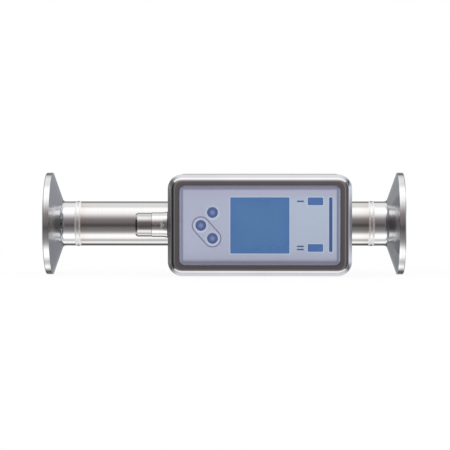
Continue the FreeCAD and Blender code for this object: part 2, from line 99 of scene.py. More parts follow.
def calc(tree, operation, *values):
    node = tree.nodes.new("ShaderNodeMath")
    node.operation = operation
    for socket, value in zip(node.inputs, values):
        feed(tree, socket, value)
    return node.outputs[0]


def vectorCalc(tree, operation, *values):
    node = tree.nodes.new("ShaderNodeVectorMath")
    node.operation = operation
    for socket, value in zip(node.inputs, values):
        feed(tree, socket, value)
    return node.outputs["Value" if operation in ("LENGTH", "DISTANCE", "DOT_PRODUCT") else "Vector"]


def fade(tree, value, start, end, low=0.0, high=1.0):  # smooth step from low at start to high at end
    node = tree.nodes.new("ShaderNodeMapRange")
    node.interpolation_type = "SMOOTHSTEP"
    labels = ("Value", "From Min", "From Max", "To Min", "To Max")
    for label, number in zip(labels, (value, start, end, low, high)):
        feed(tree, node.inputs[label], number)
    return node.outputs["Result"]


def blend(tree, factor, first, second, way="MIX"):
    node = tree.nodes.new("ShaderNodeMix")
    node.data_type = "RGBA"
    node.blend_type = way
    feed(tree, node.inputs[0], factor)
    feed(tree, node.inputs[6], first)
    feed(tree, node.inputs[7], second)
    return node.outputs[2]


def toned(tree, colour, tone):  # a colour made lighter or darker
    return blend(tree, 1.0, colour, tone, "MULTIPLY")


def noise(tree, place, scale, detail, gain=0.5):
    node = tree.nodes.new("ShaderNodeTexNoise")
    feed(tree, node.inputs["Vector"], place)
    feed(tree, node.inputs["Scale"], scale)
    node.inputs["Detail"].default_value = detail
    node.inputs["Roughness"].default_value = gain
    return node.outputs["Fac"]


def objectPlace(tree):
    return tree.nodes.new("ShaderNodeTexCoord").outputs["Object"]


def bump(tree, height, strength, depth):  # depth in millimetres
    node = tree.nodes.new("ShaderNodeBump")
    node.inputs["Strength"].default_value = strength
    node.inputs["Distance"].default_value = depth * mm
    feed(tree, node.inputs["Height"], height)
    return node.outputs["Normal"]


def splitPlace(tree):  # object x, y, z in millimetres
    node = tree.nodes.new("ShaderNodeSeparateXYZ")
    feed(tree, node.inputs[0], vectorCalc(tree, "MULTIPLY", objectPlace(tree), (1000, 1000, 1000)))
    return node.outputs


def beyond(tree, value, middle, half):  # how far a value lies past half, on either side of a middle
    offset = calc(tree, "ABSOLUTE", calc(tree, "SUBTRACT", value, float(middle)))
    return calc(tree, "SUBTRACT", offset, float(half))


def boxDistance(tree, x, z, middle, half):  # how far outside a rectangle a point lies, below 0 inside
    return calc(tree, "MAXIMUM", beyond(tree, x, middle[0], half[0]), beyond(tree, z, middle[2], half[1]))


def attribute(tree, name):
    node = tree.nodes.new("ShaderNodeAttribute")
    node.attribute_name = name
    return node.outputs["Fac"]


# Node groups shared by the finishes
lineNoise = {"detail": 3.0, "gain": 0.6, "turnShare": 0.01, "bandFineness": 0.12, "bandDetail": 2.0}
cloudNoise = {"detail": 3.0, "gain": 0.55, "speckFineness": 12.0, "speckDetail": 1.0}


def startGroup(name, inputs, outputs):
    group = bpy.data.node_groups.new(name, "ShaderNodeTree")
    for label, kind, value in inputs:
        socket = group.interface.new_socket(label, in_out="INPUT", socket_type=kind)
        socket.default_value = value
    for label in outputs:
        group.interface.new_socket(label, in_out="OUTPUT", socket_type="NodeSocketFloat")
    return group, group.nodes.new("NodeGroupInput").outputs, group.nodes.new("NodeGroupOutput").inputs


def makeTurnedLines():
    # noise over (x, distance from the turning axis), so each line runs round the axis
    inputs = [("Axis", "NodeSocketVector", (0, 0, 0)), ("Fineness", "NodeSocketFloat", 3000.0)]
    group, given, result = startGroup("turnedLines", inputs, ["Lines", "Bands"])
    place = vectorCalc(group, "SUBTRACT", objectPlace(group), given["Axis"])
    reach = vectorCalc(group, "LENGTH", vectorCalc(group, "MULTIPLY", place, (0, 1, 1)))
    parts = group.nodes.new("ShaderNodeSeparateXYZ")
    feed(group, parts.inputs[0], place)
    joined = group.nodes.new("ShaderNodeCombineXYZ")
    feed(group, joined.inputs[0], parts.outputs[0])
    feed(group, joined.inputs[1], reach)
    feed(group, joined.inputs[2], calc(group, "MULTIPLY", parts.outputs[2], lineNoise["turnShare"]))
    fine = noise(group, joined.outputs[0], given["Fineness"], lineNoise["detail"], lineNoise["gain"])
    feed(group, result["Lines"], fine)
    coarse = calc(group, "MULTIPLY", given["Fineness"], lineNoise["bandFineness"])
    feed(group, result["Bands"], noise(group, joined.outputs[0], coarse, lineNoise["bandDetail"]))
    return group


def makeMottle():
    # soft cloudy noise; Size is the width of a cloud in metres
    group, given, result = startGroup("mottle", [("Size", "NodeSocketFloat", 0.01)], ["Cloud", "Speck"])
    scale = calc(group, "DIVIDE", 1.0, given["Size"])
    cloud = noise(group, objectPlace(group), scale, cloudNoise["detail"], cloudNoise["gain"])
    feed(group, result["Cloud"], cloud)
    fine = calc(group, "MULTIPLY", scale, cloudNoise["speckFineness"])
    feed(group, result["Speck"], noise(group, objectPlace(group), fine, cloudNoise["speckDetail"]))
    return group


def makeBrushLines():
    # noise squeezed across the brushing direction; Squeeze is lines per metre along x, y and z
    inputs = [("Squeeze", "NodeSocketVector", (40, 2500, 2500))]
    group, given, result = startGroup("brushLines", inputs, ["Lines"])
    place = vectorCalc(group, "MULTIPLY", objectPlace(group), given["Squeeze"])
    feed(group, result["Lines"], noise(group, place, 1.0, lineNoise["detail"], lineNoise["gain"]))
    return group


turnedLines = makeTurnedLines()
mottle = makeMottle()
brushLines = makeBrushLines()


def useGroup(tree, group, **values):
    node = tree.nodes.new("ShaderNodeGroup")
    node.node_tree = group
    for label, value in values.items():
        feed(tree, node.inputs[label], value)
    return node.outputs


def clouds(tree, size):  # size of a cloud in millimetres
    return useGroup(tree, mottle, Size=size * mm)


def newMaterial(name, colour, roughness, metallic=0.0):
    material = bpy.data.materials.new(name)
    material.use_nodes = True
    shader = material.node_tree.nodes["Principled BSDF"]
    shader.inputs["Base Color"].default_value = colour
    shader.inputs["Roughness"].default_value = roughness
    shader.inputs["Metallic"].default_value = metallic
    return material, material.node_tree, shader.inputs


# Noise values between which tones run: evenly over clouds, in clearer patches, over turned lines
cloudSpan = (0.2, 0.8)
patchSpan = (0.3, 0.7)
lineSpan = (0.25, 0.75)


def cloudedRoughness(tree, cloud, finish):  # clouds vary it about the finish's own roughness
    clear = finish["roughness"] - finish["cloudRoughness"] / 2
    return calc(tree, "MULTIPLY_ADD", cloud["Cloud"], finish["cloudRoughness"], clear)


# Turned steel: tone, roughness and height follow fine lines round an axis
turning = {"cloudSize": 20.0, "cloudRoughness": 0.02, "lineStrength": 0.5}


def turnedSteel(name, finish, axis, tones):
    # tones are pairs of a colour and the function that masks it; the masks add the roughness listed in
    # "rougher", and the first keeps only "lineKept" of the lines
    material, tree, shader = newMaterial(name, finish["steel"], finish["roughness"], 1.0)
    centre = tuple(float(part) * mm for part in axis)
    lines = useGroup(tree, turnedLines, Axis=centre, Fineness=finish["fineness"])
    cloud = clouds(tree, turning["cloudSize"])
    masks = [inside(tree) for tone, inside in tones]
    colour = finish["steel"]
    for (tone, inside), mask in zip(tones, masks):
        colour = blend(tree, mask, colour, tone)
    kept = fade(tree, masks[0], 0.0, 1.0, 1.0, finish["lineKept"])
    shade = fade(tree, lines["Lines"], *lineSpan, -finish["lineShade"], finish["lineShade"])
    feed(tree, shader["Base Color"], toned(tree, colour, calc(tree, "MULTIPLY_ADD", shade, kept, 1.0)))
    clear = finish["roughness"] - turning["cloudRoughness"]
    rough = calc(tree, "MULTIPLY_ADD", cloud["Cloud"], turning["cloudRoughness"], clear)
    rough = calc(tree, "MULTIPLY_ADD", lines["Bands"], finish["lineRoughness"], rough)
    for mask, more in zip(masks, finish["rougher"]):
        rough = calc(tree, "MULTIPLY_ADD", mask, more, rough)
    feed(tree, shader["Roughness"], rough)
    height = calc(tree, "MULTIPLY", lines["Lines"], kept)
    feed(tree, shader["Normal"], bump(tree, height, turning["lineStrength"], finish["lineDepth"]))
    return material


def weldDistance(tree):  # along x, to the nearer weld, in millimetres
    x = splitPlace(tree)[0]
    near = [calc(tree, "ABSOLUTE", calc(tree, "SUBTRACT", x, place)) for place in weldPlaces.values()]
    return calc(tree, "MINIMUM", *near)


# Tube: straw tint beside the welds, fading along the tube
tubeFinish = {"steel": shown(209, 208, 207), "heat": shown(206, 200, 196), "heatSpan": (7.0, 1.0),
              "roughness": 0.05, "rougher": [], "lineRoughness": 0.03, "fineness": 1500.0,
              "lineDepth": 0.0003, "lineKept": 1.0, "lineShade": 0.014}


def tubeSteel():
    def heated(tree):
        return fade(tree, weldDistance(tree), *tubeFinish["heatSpan"])
    return turnedSteel("tubeSteel", tubeFinish, (0, 0, 0), [(tubeFinish["heat"], heated)])


# Ferrules: the stub beside the weld and the rim are duller and paler, the stub a little bluish; the rim's
# paler colour is a painted highlight
ferruleFinish = {"steel": shown(213, 213, 214), "cool": shown(219, 219, 221), "rim": shown(217, 217, 217),
                 "stubSpan": (7.2, 6.2), "rimSpan": (24.8, 25.0), "roughness": 0.035,
                 "rougher": [0.12, 0.12], "lineRoughness": 0.03, "fineness": 1800.0,
                 "lineDepth": 0.09, "lineKept": 0.02, "lineShade": 0.1}


def ferruleSteel():
    def stub(tree):
        return fade(tree, weldDistance(tree), *ferruleFinish["stubSpan"])

    # the rim's paler colour is a painted highlight
    def rim(tree):
        reach = vectorCalc(tree, "LENGTH", vectorCalc(tree, "MULTIPLY", objectPlace(tree), (0, 1000, 1000)))
        return fade(tree, reach, *ferruleFinish["rimSpan"])
    return turnedSteel("ferruleSteel", ferruleFinish, (0, 0, 0),
                       [(ferruleFinish["cool"], stub), (ferruleFinish["rim"], rim)])


# Plug: the arrow's floor is etched, as the sleeve's own "etched" attribute says, and the thread is darker
plugFinish = {"steel": shown(212, 211, 210), "etch": shown(236, 235, 235), "thread": shown(197, 196, 195),
              "threadSpan": (7.85, 7.65), "roughness": 0.08, "rougher": [0.45], "lineRoughness": 0.05,
              "fineness": 2400.0, "lineDepth": 0.001, "lineKept": 0.5, "lineShade": 0.05}


def plugSteel():
    def etched(tree):
        return attribute(tree, "etched")

    def threaded(tree):
        along = calc(tree, "SUBTRACT", splitPlace(tree)[0], float(boxOf("connector_sleeve")[0][0]))
        return fade(tree, along, *plugFinish["threadSpan"])
    return turnedSteel("plugSteel", plugFinish, plugAxis,
                       [(plugFinish["etch"], etched), (plugFinish["thread"], threaded)])


# Welds: a dull pale line on each side of the crown
weldFinish = {"steel": shown(238, 237, 236), "roughness": 0.4, "halfWidth": 1.5, "lineStart": (0.32, 0.5),
              "lineEnd": (0.95, 0.75), "lineRoughness": (0.3, 0.6), "lineTone": (0.84, 1.06),
              "cloudSize": 8.0, "cloudRoughness": 0.05, "grain": (0.1, 0.001)}


def weldSteel():
    material, tree, shader = newMaterial("weldSteel", weldFinish["steel"], weldFinish["roughness"], 1.0)
    across = calc(tree, "DIVIDE", weldDistance(tree), weldFinish["halfWidth"])
    rise = fade(tree, across, *weldFinish["lineStart"])
    line = calc(tree, "MULTIPLY", rise, fade(tree, across, *weldFinish["lineEnd"]))
    rough = fade(tree, line, 0.0, 1.0, *weldFinish["lineRoughness"])
    cloud = clouds(tree, weldFinish["cloudSize"])
    rough = calc(tree, "MULTIPLY_ADD", cloud["Cloud"], weldFinish["cloudRoughness"], rough)
    feed(tree, shader["Roughness"], rough)
    tone = fade(tree, line, 0.0, 1.0, *weldFinish["lineTone"])
    feed(tree, shader["Base Color"], toned(tree, weldFinish["steel"], tone))
    feed(tree, shader["Normal"], bump(tree, cloud["Cloud"], *weldFinish["grain"]))
    return material


# Housing: mirror polish with soft clouding and hair-fine scratches; the outer chamfer is a little duller
housingFinish = {"steel": shown(206, 205, 209), "roughness": 0.05, "clearRoughness": 0.03,
                 "cloudRoughness": 0.03, "cloudSize": 30.0, "cloudTone": (0.95, 1.03), "chamfer": 1.5,
                 "chamferSpan": (-0.05, 0.05), "chamferRoughness": 0.25, "brush": (60, 1800, 1800),
                 "scratch": (0.3, 0.001)}


def housingSteel():
    look = housingFinish
    material, tree, shader = newMaterial("housingSteel", look["steel"], look["roughness"], 1.0)
    cloud = clouds(tree, look["cloudSize"])
    hair = useGroup(tree, brushLines, Squeeze=look["brush"])
    x, y, z = splitPlace(tree)
    border = boxDistance(tree, x, z, middleOf("housing"), halfOf("housing") - look["chamfer"])
    ground = fade(tree, border, *look["chamferSpan"], 0.0, look["chamferRoughness"])
    smooth = calc(tree, "MULTIPLY_ADD", cloud["Cloud"], look["cloudRoughness"], look["clearRoughness"])
    feed(tree, shader["Roughness"], calc(tree, "ADD", smooth, ground))
    tone = fade(tree, cloud["Cloud"], *cloudSpan, *look["cloudTone"])
    feed(tree, shader["Base Color"], toned(tree, look["steel"], tone))
    feed(tree, shader["Normal"], bump(tree, hair["Lines"], *look["scratch"]))
    return material


# Back cover: brushed sheet, lines along x
coverFinish = {"steel": shown(203, 203, 204), "roughness": 0.2, "lineRoughness": 0.12,
               "lineTone": (0.88, 1.04), "brush": (30, 3200, 3200), "scratch": (0.5, 0.008)}


def coverSteel():
    look = coverFinish
    material, tree, shader = newMaterial("coverSteel", look["steel"], look["roughness"], 1.0)
    lines = useGroup(tree, brushLines, Squeeze=look["brush"])
    rough = calc(tree, "MULTIPLY_ADD", lines["Lines"], look["lineRoughness"], look["roughness"])
    feed(tree, shader["Roughness"], rough)
    tone = fade(tree, lines["Lines"], *cloudSpan, *look["lineTone"])
    feed(tree, shader["Base Color"], toned(tree, look["steel"], tone))
    feed(tree, shader["Normal"], bump(tree, lines["Lines"], *look["scratch"]))
    return material


# Front panel: lilac-grey, with painted light: painted shade near its top and bottom edges and towards the
# bottom, a bevel painted darker as shade and paler on its outer sides as a painted reflection, painted
# highlights round its cut-outs, painted shade in the groove round the up and down keys and a thin painted
# shade line at
# each side. Spans are in millimetres: cool along x, low along z, edge shade, border and bevel from the edge
# of the face, outer and inner from the sides
panelFinish = {"face": shown(169, 173, 194), "cool": shown(168, 179, 198), "lilac": shown(166, 169, 190),
               "bevel": shown(128, 128, 147), "sideBevelShade": shown(137, 143, 166),
               "outer": shown(152, 151, 172), "beside": shown(192, 197, 218), "edge": shown(126, 134, 161),
               "pale": shown(181, 189, 211), "low": shown(138, 140, 155), "groove": shown(122, 126, 152),
               "coolSpan": (-10.0, 45.0), "lowSpan": (-15.5, -18.0), "edgeShadeSpan": (-6.5, -1.5),
               "borderSpan": (-0.6, 0.4), "bevelSpan": (0.4, 1.9), "outerSpan": (0.0, 0.5),
               "innerSpan": (-0.8, -0.2), "faceHalf": (37.25, 17.3), "sideHalf": 37.5,
               "edgeSpan": (0.3, 0.1), "rimSpan": (0.75, 0.1), "rimRadius": 3.125, "grooveRadius": 4.1,
               "grooveSpan": (0.3, 0.15), "roughness": 0.42, "cloudRoughness": 0.1, "cloudSize": 30.0,
               "cloudTone": (0.97, 1.03), "grainSize": 4.0, "grain": (0.12, 0.01)}


def segmentDistance(tree, place, start, end):  # distance of a flat point from a straight run
    run = end - start
    offset = vectorCalc(tree, "SUBTRACT", place, tuple(start))
    share = calc(tree, "DIVIDE", vectorCalc(tree, "DOT_PRODUCT", offset, tuple(run)), float(run @ run))
    held = calc(tree, "MINIMUM", calc(tree, "MAXIMUM", share, 0.0), 1.0)
    node = tree.nodes.new("ShaderNodeVectorMath")
    node.operation = "SCALE"
    node.inputs[0].default_value = tuple(run)
    feed(tree, node.inputs["Scale"], held)
    return vectorCalc(tree, "DISTANCE", offset, node.outputs["Vector"])


def panelPlastic():
    look = panelFinish
    material, tree, shader = newMaterial("panelPlastic", look["face"], look["roughness"])
    x, y, z = splitPlace(tree)
    flat = tree.nodes.new("ShaderNodeCombineXYZ")
    feed(tree, flat.inputs[0], x)
    feed(tree, flat.inputs[2], z)
    flatPlaces = {name: place * (1, 0, 1) for name, place in keyPlaces.items()}
    colour = blend(tree, fade(tree, x, *look["coolSpan"]), look["face"], look["cool"])
    # painted shade near the top and bottom edges of the face, and towards the bottom
    outward = beyond(tree, z, 0.0, look["faceHalf"][1])
    colour = blend(tree, fade(tree, outward, *look["edgeShadeSpan"]), colour, look["lilac"])
    colour = blend(tree, fade(tree, z, *look["lowSpan"]), colour, look["low"])
    windows = ("display_window", "upper_indicator_window", "lower_indicator_window", "status_bar_window")
    rims = [boxDistance(tree, x, z, middleOf(name), halfOf(name) - windowFlange) for name in windows]
    for place in flatPlaces.values():
        reach = vectorCalc(tree, "DISTANCE", flat.outputs[0], tuple(place))
        rims.append(calc(tree, "SUBTRACT", reach, look["rimRadius"]))
    nearest = rims[0]
    for other in rims[1:]:
        nearest = calc(tree, "MINIMUM", nearest, other)
    # painted highlight on the rims round the windows and keys
    colour = blend(tree, fade(tree, nearest, *look["rimSpan"]), colour, look["pale"])
    # painted shade in the groove round the up and down keys
    away = segmentDistance(tree, flat.outputs[0], flatPlaces["up_key"], flatPlaces["down_key"])
    away = calc(tree, "ABSOLUTE", calc(tree, "SUBTRACT", away, look["grooveRadius"]))
    colour = blend(tree, fade(tree, away, *look["grooveSpan"]), colour, look["groove"])
    # the bevel is painted darker as shade, deepest at top and bottom, and paler on its outer sides as a
    # painted reflection
    border = boxDistance(tree, x, z, panelMiddle * (1, 0, 0), look["faceHalf"])
    beside = beyond(tree, x, panelMiddle[0], look["sideHalf"])
    outer = blend(tree, fade(tree, beside, *look["outerSpan"]), look["outer"], look["beside"])
    inner = blend(tree, fade(tree, beside, *look["innerSpan"]), look["bevel"], look["sideBevelShade"])
    bevel = blend(tree, fade(tree, border, *look["bevelSpan"]), inner, outer)
    colour = blend(tree, fade(tree, border, *look["borderSpan"]), colour, bevel)
    # a thin painted shade line at each side of the face
    edge = fade(tree, calc(tree, "ABSOLUTE", beside), *look["edgeSpan"])
    colour = blend(tree, edge, colour, look["edge"])
    cloud = clouds(tree, look["cloudSize"])
    tone = fade(tree, cloud["Cloud"], *cloudSpan, *look["cloudTone"])
    feed(tree, shader["Base Color"], toned(tree, colour, tone))
    feed(tree, shader["Roughness"], cloudedRoughness(tree, cloud, look))
    grain = clouds(tree, look["grainSize"])
    feed(tree, shader["Normal"], bump(tree, grain["Speck"], *look["grain"]))
    return material


# Display: plain blue, a little deeper towards its edges
displayFinish = {"middle": shown(75, 116, 163), "side": shown(72, 112, 165), "sideSpan": (-7.0, -1.0),
                 "roughness": 0.28, "cloudRoughness": 0.08, "cloudSize": 12.0, "cloudTone": (0.97, 1.03)}


def displayBlue():
    look = displayFinish
    material, tree, shader = newMaterial("displayBlue", look["middle"], look["roughness"])
    x, y, z = splitPlace(tree)
    edge = boxDistance(tree, x, z, middleOf("display_window"), halfOf("display_window"))
    colour = blend(tree, fade(tree, edge, *look["sideSpan"]), look["middle"], look["side"])
    cloud = clouds(tree, look["cloudSize"])
    tone = fade(tree, cloud["Cloud"], *cloudSpan, *look["cloudTone"])
    feed(tree, shader["Base Color"], toned(tree, colour, tone))
    feed(tree, shader["Roughness"], cloudedRoughness(tree, cloud, look))
    return material


# Tinted panes of the indicator lights and the status bar
pane = {"cloudRoughness": 0.1, "cloudSize": 3.0, "grain": (0.15, 0.004)}
paneFinishes = {
    "lightBlue": {"middle": shown(75, 111, 167), "side": shown(72, 106, 161), "roughness": 0.25, **pane},
    "barBlue": {"middle": shown(66, 94, 146), "side": shown(62, 88, 138), "roughness": 0.3, **pane},
}


def tintedPane(name):
    look = paneFinishes[name]
    material, tree, shader = newMaterial(name, look["middle"], look["roughness"])
    cloud = clouds(tree, look["cloudSize"])
    colour = blend(tree, fade(tree, cloud["Cloud"], *patchSpan), look["middle"], look["side"])
    feed(tree, shader["Base Color"], colour)
    feed(tree, shader["Roughness"], cloudedRoughness(tree, cloud, look))
    feed(tree, shader["Normal"], bump(tree, cloud["Speck"], *look["grain"]))
    return material


# Push keys: the centre is paler than the rim, as a painted highlight in the dish and painted shade towards
# the rim, read from the piece's own "reach" attribute
keyFinish = {"centre": shown(111, 131, 180), "rim": shown(76, 92, 138), "rimSpan": (0.15, 0.72),
             "roughness": 0.38, "cloudRoughness": 0.1, "cloudSize": 2.0, "cloudTone": (0.96, 1.04),
             "grain": (0.1, 0.006)}


def keyBlue():
    look = keyFinish
    material, tree, shader = newMaterial("keyBlue", look["rim"], look["roughness"])
    # paler centre is a painted highlight, darker rim painted shade
    outward = fade(tree, attribute(tree, "reach"), *look["rimSpan"])
    cloud = clouds(tree, look["cloudSize"])
    tone = fade(tree, cloud["Cloud"], *cloudSpan, *look["cloudTone"])
    feed(tree, shader["Base Color"], toned(tree, blend(tree, outward, look["centre"], look["rim"]), tone))
    feed(tree, shader["Roughness"], cloudedRoughness(tree, cloud, look))
    feed(tree, shader["Normal"], bump(tree, cloud["Speck"], *look["grain"]))
    return material


# Plain finishes of marks and inner pieces: colour, second colour of the mottling, roughness, metal and
# cloud size in millimetres
plainFinishes = {
    "sealRubber": (shown(58, 58, 60), shown(48, 48, 50), 0.75, 0.0, 2.0),
    "insertBlack": (shown(44, 45, 48), shown(36, 37, 40), 0.5, 0.0, 1.5),
    "pinGold": (shown(226, 196, 128), shown(214, 180, 108), 0.24, 1.0, 1.0),
    "boardGreen": (shown(38, 104, 66), shown(30, 88, 56), 0.42, 0.0, 4.0),
    "screwSteel": (shown(194, 194, 196), shown(180, 180, 183), 0.3, 1.0, 1.0),
    "moduleGlass": (shown(62, 70, 84), shown(54, 62, 76), 0.12, 0.0, 6.0),
    "ledWhite": (shown(236, 236, 226), shown(228, 226, 210), 0.35, 0.0, 0.8),
    "wedgeTan": (shown(196, 176, 140), shown(184, 162, 126), 0.5, 0.0, 3.0),
    "ceramicWhite": (shown(218, 214, 204), shown(206, 202, 190), 0.55, 0.0, 1.5),
    "yokeAluminium": (shown(214, 214, 216), shown(200, 200, 203), 0.3, 1.0, 2.0),
    "pottingBlack": (shown(70, 70, 74), shown(58, 58, 62), 0.6, 0.0, 2.0),
    "markBlue": (shown(78, 92, 142), shown(70, 84, 134), 0.45, 0.0, 0.6),
}
plainVariation = 0.06  # of the roughness, each way
plainGrain = (0.2, 0.01)


def plainFinish(name):
    colour, second, roughness, metallic, cloudSize = plainFinishes[name]
    material, tree, shader = newMaterial(name, colour, roughness, metallic)
    cloud = clouds(tree, cloudSize)
    feed(tree, shader["Base Color"], blend(tree, fade(tree, cloud["Cloud"], *patchSpan), colour, second))
    limits = (roughness - plainVariation, roughness + plainVariation)
    feed(tree, shader["Roughness"], fade(tree, cloud["Cloud"], *cloudSpan, *limits))
    feed(tree, shader["Normal"], bump(tree, cloud["Speck"], *plainGrain))
    return material


made = [plainFinish(name) for name in plainFinishes]
made += [tubeSteel(), ferruleSteel(), plugSteel(), weldSteel(), housingSteel(), coverSteel()]
made += [panelPlastic(), displayBlue(), keyBlue()]
made += [tintedPane(name) for name in paneFinishes]
finishes = {material.name: material for material in made}
print("finishes:", len(finishes))

nodeFinishes = {
    "tubeSteel": ["measuring_tube"],
    "ferruleSteel": ["inlet_ferrule", "outlet_ferrule"],
    "weldSteel": list(weldPlaces),
    "housingSteel": ["housing"],
    "coverSteel": ["back_cover"],
    "plugSteel": ["connector_sleeve", "connector_nut"],
    "panelPlastic": ["front_panel"],
    "displayBlue": ["display_window"],
    "lightBlue": ["upper_indicator_window", "lower_indicator_window"],
    "barBlue": ["status_bar_window"],
    "keyBlue": list(keyPlaces),
    "sealRubber": ["inlet_tube_seal", "outlet_tube_seal", "panel_gasket", "connector_seal"],
    "insertBlack": ["connector_insert", "board_header", "key_switches", "board_components",
                    "display_carrier"],
    "pinGold": ["connector_pins", "board_spacers"],
    "boardGreen": ["display_board", "main_board"],
    "screwSteel": ["board_screws", "yoke_screws"],
    "moduleGlass": ["display_module"],
    "ledWhite": ["indicator_leds"],
    "wedgeTan": ["upstream_wedge", "downstream_wedge"],
    "ceramicWhite": ["upstream_transducer", "downstream_transducer"],
    "yokeAluminium": ["upstream_yoke", "downstream_yoke"],
    "pottingBlack": ["temperature_sensor"],
}
for finish, members in nodeFinishes.items():
    for member in members:
        nodes[member].material_slots[0].material = finishes[finish]
print("dressed:", sum(len(members) for members in nodeFinishes.values()), "solids")

# Surfaces on a grid
poleGap = 1e-7  # metres; points closer than this are one
sharpAngle = 35  # degrees; edges that turn more stay crisp


def gridPiece(name, points, loopRows, finish, body, marks=None):
    # rows by columns of points in millimetres become quads; columns always close, rows close if loopRows
    rows, columns = points.shape[:2]
    rowRange = np.arange(rows if loopRows else rows - 1)
    row, column = np.meshgrid(rowRange, np.arange(columns), indexing="ij")
    nextRow = (row + 1) % rows
    nextColumn = (column + 1) % columns
    corners = [row * columns + column, row * columns + nextColumn,
               nextRow * columns + nextColumn, nextRow * columns + column]
    faces = np.stack(corners, -1).reshape(-1, 4).tolist()
    mesh = bpy.data.meshes.new(name)
    mesh.from_pydata((points.reshape(-1, 3) * mm).tolist(), [], faces)
    for label, values in (marks or {}).items():
        layer = mesh.attributes.new(label, "FLOAT", "POINT")
        layer.data.foreach_set("value", values.ravel().astype(np.float32))
    work = bmesh.new()
    work.from_mesh(mesh)
    bmesh.ops.remove_doubles(work, verts=work.verts, dist=poleGap)
    bmesh.ops.recalc_face_normals(work, faces=work.faces)
    work.to_mesh(mesh)
    work.free()
    mesh.polygons.foreach_set("use_smooth", np.ones(len(mesh.polygons), dtype=bool))
    mesh.set_sharp_from_angle(angle=math.radians(sharpAngle))
    mesh.materials.append(finishes[finish])
    piece = bpy.data.objects.new(name, mesh)
    bpy.context.scene.collection.objects.link(piece)
    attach(piece, body)
    return piece


def walk(corners, steps):
    # points along a broken line, one spacing for each leg, without each leg's end
    legs = [np.linspace(start, end, max(2, math.ceil(math.dist(start, end) / step) + 1))[:-1]
            for start, end, step in zip(corners, corners[1:], steps)]
    return np.concatenate(legs)


def softStep(value, start, end):
    share = np.clip((value - start) / (end - start), 0, 1)
    return share * share * (3 - 2 * share)


# Plug sleeve: thread, grooved collar with an engraved arrow, flare, shank and socket
sleeve = {"endChamfer": 1.05, "endRadius": 5.25, "threadRadius": 5.9, "threadLength": 6.7,
          "threadPitch": 1.0, "threadDepth": 0.13, "threadStart": (0.9, 1.5), "threadRunOut": 0.7,
          "undercut": 0.25, "collarRadius": 6.0, "collarLength": 7.7, "flareRadius": 6.4, "flareLength": 2.1,
          "shankRadius": 5.2, "socketRadius": 4.45, "grooveAt": 2.1, "grooveHalf": 0.22, "grooveDepth": 0.06,
          "arrowAt": 4.5, "arrowLength": 2.0, "arrowHalf": 1.4, "arrowDepth": 0.25, "arrowEdge": 0.12,
          "columns": 176, "crowding": 0.55, "fine": 0.055, "plain": 0.6}


def plugSleeve():
    # turned about the plug axis: radius = profile(along) - thread(along, turn) - groove(along)
    # - arrow(along, turn)
    s = sleeve
    low, high = boxOf("connector_sleeve")
    length = high[0] - low[0]
    threadEnd = s["endChamfer"] + s["threadLength"]
    collarEnd = threadEnd + s["collarLength"]
    corners = [(0, s["socketRadius"]), (0, s["endRadius"]), (s["endChamfer"], s["threadRadius"]),
               (threadEnd, s["threadRadius"]), (threadEnd, s["threadRadius"] - s["undercut"]),
               (threadEnd + s["undercut"], s["collarRadius"]),
               (collarEnd - s["flareLength"], s["collarRadius"]), (collarEnd, s["flareRadius"]),
               (collarEnd, s["shankRadius"]), (length, s["shankRadius"]), (length, s["socketRadius"]),
               (0, s["socketRadius"])]
    steps = [s["plain"], s["fine"] * 2, s["fine"], s["plain"], s["plain"], s["fine"] * 2, s["fine"] * 3,
             s["plain"], s["plain"], s["plain"], s["plain"]]
    profile = walk(corners, steps)
    along, radius = profile[:, :1], profile[:, 1:]
    even = np.linspace(-np.pi, np.pi, s["columns"], endpoint=False)
    turn = even - s["crowding"] * np.sin(even)  # columns crowd together on the side of the arrow
    outside = radius > s["shankRadius"]
    phase = along / s["threadPitch"] - turn / (2 * np.pi)
    runOut = softStep(along, threadEnd, threadEnd - s["threadRunOut"]) * (along < threadEnd)
    cut = s["threadDepth"] * softStep(along, *s["threadStart"]) * runOut
    thread = cut * (0.5 + 0.5 * np.cos(2 * np.pi * phase)) * outside
    inCollar = along - threadEnd
    groove = s["grooveDepth"] * softStep(np.abs(inCollar - s["grooveAt"]), s["grooveHalf"], 0.0)
    share = (inCollar - s["arrowAt"]) / s["arrowLength"]
    room = s["arrowHalf"] * (1 - share) - np.abs(s["collarRadius"] * turn)
    arrow = s["arrowDepth"] * softStep(room, 0.0, s["arrowEdge"]) * ((share > 0) & (share < 1))
    reach = radius - thread - (groove + arrow) * outside
    points = np.stack([low[0] + along + 0 * turn, plugAxis[1] - reach * np.cos(turn),
                       plugAxis[2] + reach * np.sin(turn)], -1)
    etched = arrow * outside / s["arrowDepth"]
    piece = gridPiece("plug_sleeve", points, True, "plugSteel", "meter", {"etched": etched})
    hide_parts("connector_sleeve")


# Weld beads: low crown with faint chevron ripples, root in the two bevels
bead = {"tubeRadius": 11.0, "halfWidth": 1.5, "toe": 0.05, "crown": 0.2, "rootDepth": 1.15, "ripples": 96,
        "rippleHeight": 0.003, "chevron": 2.4, "rows": 28, "columns": 288}


